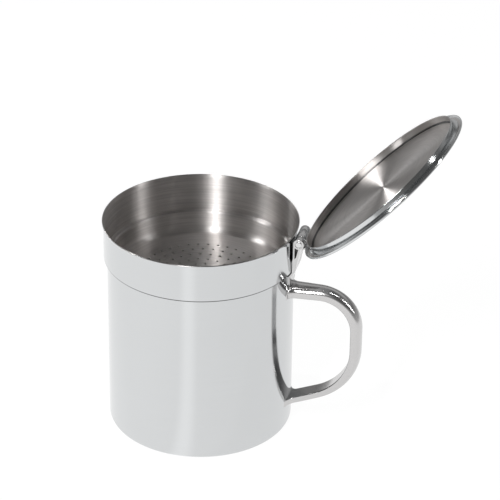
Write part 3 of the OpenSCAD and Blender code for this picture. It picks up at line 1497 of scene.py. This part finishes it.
@dataclass
class Hinge:
    """The folded bracket on the pot and the pin through its eyes.

    Attributes:
        lathe: What spins the pin.
        strip: CAD node of the bracket.
        band_r: Outside radius of the strainer's band.
        rim_z: Height of the strainer's rim.
        eased: Width of the bracket's eased edges.
        gap: Gap between the bracket's eyes and the strainer's band.
        sheet: Sheet thickness of the bracket.
        drop: Depth of the pin's axis below the strainer's rim.
        pin_r: Radius of the pin.
        width: Width of the hinge over both eyes.
        proud: How far each end of the pin stands out of its eye.
        groove: Depth and width of the dark groove between a pin's end and its eye.
        nose: Rounding of a pin's end.
        support: Distance of the pin's supporting points from its edges.
        pin_steps: Facets round the pin.
    """

    lathe: Lathe
    strip: bpy.types.Object
    band_r: float = BAND_R
    rim_z: float = RIM_Z
    eased: float = EASED_EDGE
    gap: float = 0.3 * MM
    sheet: float = 1.0 * MM
    drop: float = 4.2 * MM
    pin_r: float = 2.2 * MM
    width: float = 19.0 * MM
    proud: float = 0.3 * MM
    groove: float = 0.42 * MM
    nose: float = 0.25 * MM
    support: float = 0.15 * MM
    pin_steps: int = 64

    @property
    def axis(self) -> Matrix:
        """Moves the origin to the middle of the pin."""
        out = self.band_r + self.gap + self.pin_r + self.sheet
        return Matrix.Translation((out, 0.0, self.rim_z - self.drop))

    def swing(self, degrees: float) -> Matrix:
        """Turns what is drawn closed about the pin."""
        return self.axis @ Matrix.Rotation(math.radians(degrees), 4, "Y") @ self.axis.inverted()

    def pin_section(self) -> list[Vector]:
        """Half section of the pin, with a groove at each eye and rounded ends.

        Returns:
            The section's loop of points.
        """
        r, head, nose = self.pin_r, self.pin_r - self.groove, self.nose
        end = self.width / 2 + self.proud
        shoulder = self.width / 2 - self.groove
        line = Section(support=self.support).to(0.0, -end)
        line.arc((head - nose, nose - end), nose, -90, 0, 5)
        line.to(head, -shoulder).to(r, -shoulder)
        line.to(r, shoulder).to(head, shoulder)
        line.arc((head - nose, end - nose), nose, 0, 90, 5)
        line.to(0.0, end)
        return line.close()

    def build(self) -> None:
        """Eases the bracket's edges, spins the pin and dresses both."""
        strip = Finish.FOLDED_STRIP.material()
        bracket = eased_copy(self.strip, "bracket_folded", self.eased, strip)
        show(bracket, "pot", "hinge_bracket")
        steel = Finish.PIN_END.material()
        pin = self.lathe.spin("pin_peened", self.pin_section(), 1.0, steel, steel, self.pin_steps)
        pin.data.transform(self.axis @ Matrix.Rotation(math.pi / 2, 4, "X"))
        show(pin, "pot", "hinge_pin")


@dataclass
class Lid:
    """The cover with its plug ring and hinge leaf, drawn closed and then swung open.

    Attributes:
        lathe: What spins the cover and the ring.
        hinge: What it swings on.
        strap: CAD node of the leaf, which stands open already.
        band_r: Outside radius of the strainer's band.
        rim_flare: How far the strainer's rim flares out past its band.
        rim_z: Height of that rim.
        sheet: Sheet thickness of the cover and the ring.
        eased: Width of the leaf's eased edges.
        open_angle: Angle in degrees by which the lid stands open.
        overhang: How far the cover reaches past the strainer's rim.
        seat_gap: Gap between the closed cover and the rim.
        edge_drop: How far the cover's edge is turned down.
        edge_round: Outside radius of the turned-down edge.
        plug_gap: Gap between the plug ring and the inside of the band.
        plug_h: How far the plug ring reaches below the rim.
        plug_flange: Width of the plug ring's weld flange.
        crease: Radius of the crease between the ring and its flange.
        step: Half the height of the bevel between the ring's inside and the cover.
        shade_reach: How far the painted shade beside the ring reaches.
        wall_stretch: Stretch of the texture space at which brushing follows the ring's wall.
    """

    lathe: Lathe
    hinge: Hinge
    strap: bpy.types.Object
    band_r: float = BAND_R
    rim_flare: float = RIM_FLARE
    rim_z: float = RIM_Z
    sheet: float = SHEET
    eased: float = EASED_EDGE
    open_angle: float = 136.0
    overhang: float = 0.9 * MM
    seat_gap: float = 0.1 * MM
    edge_drop: float = 1.1 * MM
    edge_round: float = 1.0 * MM
    plug_gap: float = 2.2 * MM
    plug_h: float = 4.6 * MM
    plug_flange: float = 1.6 * MM
    crease: float = 0.35 * MM
    step: float = 0.1 * MM
    shade_reach: float = 1.1 * MM
    wall_stretch: float = 60.0

    @property
    def radius(self) -> float:
        """Outside radius of the cover."""
        return self.band_r + self.rim_flare + self.overhang

    @property
    def under_z(self) -> float:
        """Height of the closed cover's underside."""
        return self.rim_z + self.seat_gap

    @property
    def plug_r(self) -> float:
        """Outside radius of the plug ring."""
        return self.band_r - self.sheet - self.plug_gap

    def cover_section(self) -> list[Vector]:
        """Half section of the flat cover with its turned-down edge.

        Returns:
            The section's loop of points.
        """
        top = self.under_z + self.sheet
        fold = self.edge_round - self.sheet
        low = self.under_z - self.edge_drop
        line = Section().to(0.0, self.under_z)
        line.arc((self.radius - self.sheet - fold, self.under_z - fold), fold, 90, 0, 6)
        line.arc((self.radius - self.sheet / 2, low + self.sheet / 2), self.sheet / 2, 180, 360, 8)
        line.arc((self.radius - self.edge_round, top - self.edge_round), self.edge_round, 0, 90, 8)
        line.to(0.0, top)
        return line.close()

    def plug_section(self) -> list[Vector]:
        """Half section of the ring: its rounded lower edge, the crease and the flange.

        Returns:
            The section's loop of points.
        """
        r, crease, brim = self.plug_r, self.crease, self.sheet / 3
        inner = r - self.sheet
        low = self.rim_z - self.plug_h
        seam = self.under_z - self.sheet
        out = r + self.plug_flange
        line = Section()
        line.arc((r - self.sheet / 2, low + self.sheet / 2), self.sheet / 2, 180, 360, 8)
        line.arc((r + crease, seam - crease), crease, 180, 90, 4)
        line.arc((out - brim, seam + brim), brim, -90, 0, 4)
        line.to(out, self.under_z)
        line.to(inner + crease, self.under_z)
        line.to(inner + crease, seam + self.step)
        line.to(inner, seam - self.step)
        return line.close()

    def build(self) -> None:
        """Spins the cover and ring, swings them open, eases the leaf and dresses all."""
        swing = self.hinge.swing(self.open_angle)
        back = swing.inverted()
        polished = Finish.POLISHED_WALL.material(back)
        # Painted shade in the crease where the plug ring meets the cover, darkening the satin steel's
        # colour
        seam = CreaseShade(self.plug_r - self.sheet, self.under_z, self.shade_reach)
        satin = Finish.TURNED_LID.material(back, seam)
        middle = swing @ Vector((0.0, 0.0, self.under_z))
        for name, section, stretch, node in (
            ("cover_spun", self.cover_section(), 1.0, "lid_cover"),
            ("plug_ring", self.plug_section(), self.wall_stretch, "lid_plug"),
        ):
            reach = self.plug_r - self.sheet / 2
            piece = self.lathe.spin(name, section, -1.0, polished, satin, reach=reach)
            piece.data.transform(swing)
            ring_space(piece.data, middle, self.radius, stretch)
            show(piece, "lid", node)
        leaf = eased_copy(self.strap, "leaf_folded", self.eased, Finish.FOLDED_STRIP.material())
        show(leaf, "lid", "lid_leaf")


# ---- Studio ----


@dataclass(frozen=True)
class SoftLight:
    """A soft rectangular light that looks at the container.

    Attributes:
        name: Name of the light.
        azimuth: Direction in degrees to the right of the camera's side.
        elevation: Height above the floor in degrees.
        away: Distance from the container.
        size: Width and height of the light.
        power: Power in watts.
        aim_z: Height of the point that it looks at.
    """

    name: str
    azimuth: float
    elevation: float
    away: float
    size: Point
    power: float
    aim_z: float = 100.0 * MM

    def hang(self, facing: float) -> None:
        """Hangs the light.

        Args:
            facing: Direction in degrees of the camera's side.
        """
        data = bpy.data.lights.new(self.name, "AREA")
        data.shape = "RECTANGLE"
        data.size, data.size_y = self.size
        data.energy = self.power
        light = put(self.name, data)
        a, e = math.radians(self.azimuth + facing), math.radians(self.elevation)
        way = Vector((math.sin(a) * math.cos(e), -math.cos(a) * math.cos(e), math.sin(e)))
        light.location = way * self.away + Vector((0.0, 0.0, self.aim_z))
        light.rotation_mode = "QUATERNION"
        light.rotation_quaternion = way.to_track_quat("Z", "Y")
        light.visible_camera = False


@dataclass
class Studio:
    """Pale floor, surroundings, soft lights and the camera.

    Attributes:
        lens: Focal length in millimetres.
        distance: Distance of the camera from the container's axis.
        elevation: Height of the camera above the aim, in degrees.
        azimuth: How far the camera stands round to the right, in degrees.
        pitch: How far it looks down, in degrees.
        yaw: How far it looks to the right of the axis, in degrees.
        roll: How far it is tilted, in degrees.
        aim_z: Height of the point that it is set up round.
        surround: Brightness of the surroundings by height.
        rear: Where the surroundings behind the container start to brighten.
        rear_foot: Brightness that they gain with height.
        rear_head: Where that brightness ends again, higher up.
        glow: Brightness added by the bearing from the middle of the floor's bright strip.
        glow_bearing: Bearing of that strip, in degrees to the right of the camera's side.
        tilt: Brightness added from the floor's left to its right.
        pool: Brightness of the floor by distance from its middle.
        pool_y: Y of the floor's middle.
        floor_r: Radius of the floor.
        floor_tone: Base colour and roughness of the floor's paint.
        floor_seen: Brightness of the floor to the camera.
        floor_light: Share of its own light where it is seen or mirrored.
        lights: The soft lights.
    """

    lens: float = 179.96
    distance: float = 1.4975
    elevation: float = 30.23
    azimuth: float = 14.5
    pitch: float = 28.71
    yaw: float = 1.286
    roll: float = 0.723
    aim_z: float = 66.0 * MM
    surround: Ramp = (-0.05, 0.35, 0.42, 0.10)
    rear: Ramp = (0.20, 0.90, 0.0, 1.0)
    rear_foot: Ramp = (0.25, 0.45, 0.0, 0.42)
    rear_head: Ramp = (0.60, 0.80, 1.0, 0.0)
    glow: Ramp = (1.0, 11.0, 0.13, 0.0)
    glow_bearing: float = -13.0
    tilt: Ramp = (-70.0, 60.0, 0.04, -0.04)
    pool: Ramp = (0.50, 0.78, 1.0, 0.42)
    pool_y: float = -0.2
    floor_r: float = 3.0
    floor_tone: float = 0.9
    floor_seen: float = 1.06
    floor_light: float = 0.9
    lights: tuple[SoftLight, ...] = (
        SoftLight("front_strip", azimuth=-20.5, elevation=42.0, away=1.6, size=(0.13, 0.8), power=13.0),
        SoftLight("right_strip", azimuth=79.0, elevation=28.0, away=1.5, size=(0.05, 0.8), power=4.0),
        SoftLight("left_panel", azimuth=-107.0, elevation=49.5, away=1.5, size=(0.05, 0.2), power=5.0),
        SoftLight("back_panel", azimuth=-140.0, elevation=29.6, away=1.5, size=(0.05, 0.05), power=1.3),
    )

    def camera(self) -> None:
        """Makes the camera and sets it as the scene's."""
        degrees = (self.elevation, self.yaw, self.pitch, self.roll)
        e, yaw, pitch, roll = (math.radians(angle) for angle in degrees)
        away = Vector((0.0, -math.cos(e), math.sin(e))) * self.distance
        level = Vector((math.sin(yaw), math.cos(yaw), 0.0))
        ahead = level * math.cos(pitch) - Vector((0.0, 0.0, math.sin(pitch)))
        right = ahead.cross(Vector((0.0, 0.0, 1.0))).normalized()
        up = right.cross(ahead)
        tilted_right = right * math.cos(roll) + up * math.sin(roll)
        tilted_up = up * math.cos(roll) - right * math.sin(roll)
        turn = Matrix((tilted_right, tilted_up, -ahead)).transposed().to_4x4()
        about = Matrix.Rotation(math.radians(self.azimuth), 4, "Z")
        stand = Matrix.Translation(away + Vector((0.0, 0.0, self.aim_z)))
        data = bpy.data.cameras.new("camera")
        data.lens = self.lens
        data.sensor_width = 36.0
        data.clip_start = 0.05
        data.clip_end = 50.0
        camera = put("camera", data)
        camera.matrix_world = about @ stand @ turn
        bpy.context.scene.camera = camera

    def surroundings(self) -> None:
        """White to the camera; to the steel, pale low down and dark grey overhead."""
        world = bpy.data.worlds.new("studio")
        bpy.context.scene.world = world
        board = Board.cleared(world)
        _, behind, height = board.split(board.add("ShaderNodeTexCoord", {}, {}, "Generated"))
        rear = behind.ramp(*self.rear) * height.ramp(*self.rear_foot) * height.ramp(*self.rear_head)
        level = height.ramp(*self.surround) + rear
        seen = board.add("ShaderNodeLightPath", {}, {}, "Is Camera Ray")
        light = {"Color": WHITE, "Strength": seen + (1.0 - seen) * level}
        shade = board.add("ShaderNodeBackground", {}, light)
        board.place("ShaderNodeOutputWorld", {}, {"Surface": shade})

    def floor(self) -> None:
        """Lays the pale floor, which the steel mirrors and which keeps a soft shadow."""
        work = bmesh.new()
        bmesh.ops.create_circle(work, cap_ends=True, radius=self.floor_r, segments=64)
        floor = put("floor", mesh_from(work, "floor"))
        paint = bpy.data.materials.new("floor_paint")
        board = Board.cleared(paint)
        tone = self.floor_tone
        pale = {"Base Color": (tone, tone, tone, 1.0), "Roughness": tone, "Specular IOR Level": 0.0}
        matt = board.add("ShaderNodeBsdfPrincipled", {}, pale)
        x, y, _ = board.split(board.add("ShaderNodeTexCoord", {}, {}, "Object"))
        bearing = x.bearing(-y) - self.azimuth
        glow = (bearing - self.glow_bearing).size().ramp(*self.glow)
        fade = distance(x, y - self.pool_y).ramp(*self.pool)
        pool = (1.0 + glow + bearing.ramp(*self.tilt)) * fade
        ray = board.place("ShaderNodeLightPath", {}, {})
        camera, mirror = board.out(ray, "Is Camera Ray"), board.out(ray, "Is Glossy Ray")
        light = {"Color": WHITE, "Strength": camera * self.floor_seen + (1.0 - camera) * pool}
        bright = board.add("ShaderNodeEmission", {}, light)
        mix = {0: camera.larger(mirror) * self.floor_light, 1: matt, 2: bright}
        board.place(
            "ShaderNodeOutputMaterial", {}, {"Surface": board.add("ShaderNodeMixShader", {}, mix)}
        )
        floor.data.materials.append(paint)

    def build(self) -> None:
        """Sets up everything round the container."""
        self.camera()
        self.surroundings()
        self.floor()
        for light in self.lights:
            light.hang(self.azimuth)
        bpy.context.scene.view_settings.view_transform = "Standard"


def main() -> None:
    """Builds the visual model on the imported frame."""
    logging.basicConfig(level=logging.INFO, format="%(message)s")
    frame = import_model()
    nodes = frame["nodes"]
    lathe = Lathe()
    hinge = Hinge(lathe, nodes["hinge_bracket"])
    lid = Lid(lathe, hinge, nodes["lid_leaf"])
    for part in (Studio(), Pot(lathe), Handle(), Strainer(lathe), hinge, lid):
        part.build()
        LOG.info("built %s", type(part).__name__)


if __name__ == "__main__":
    main()
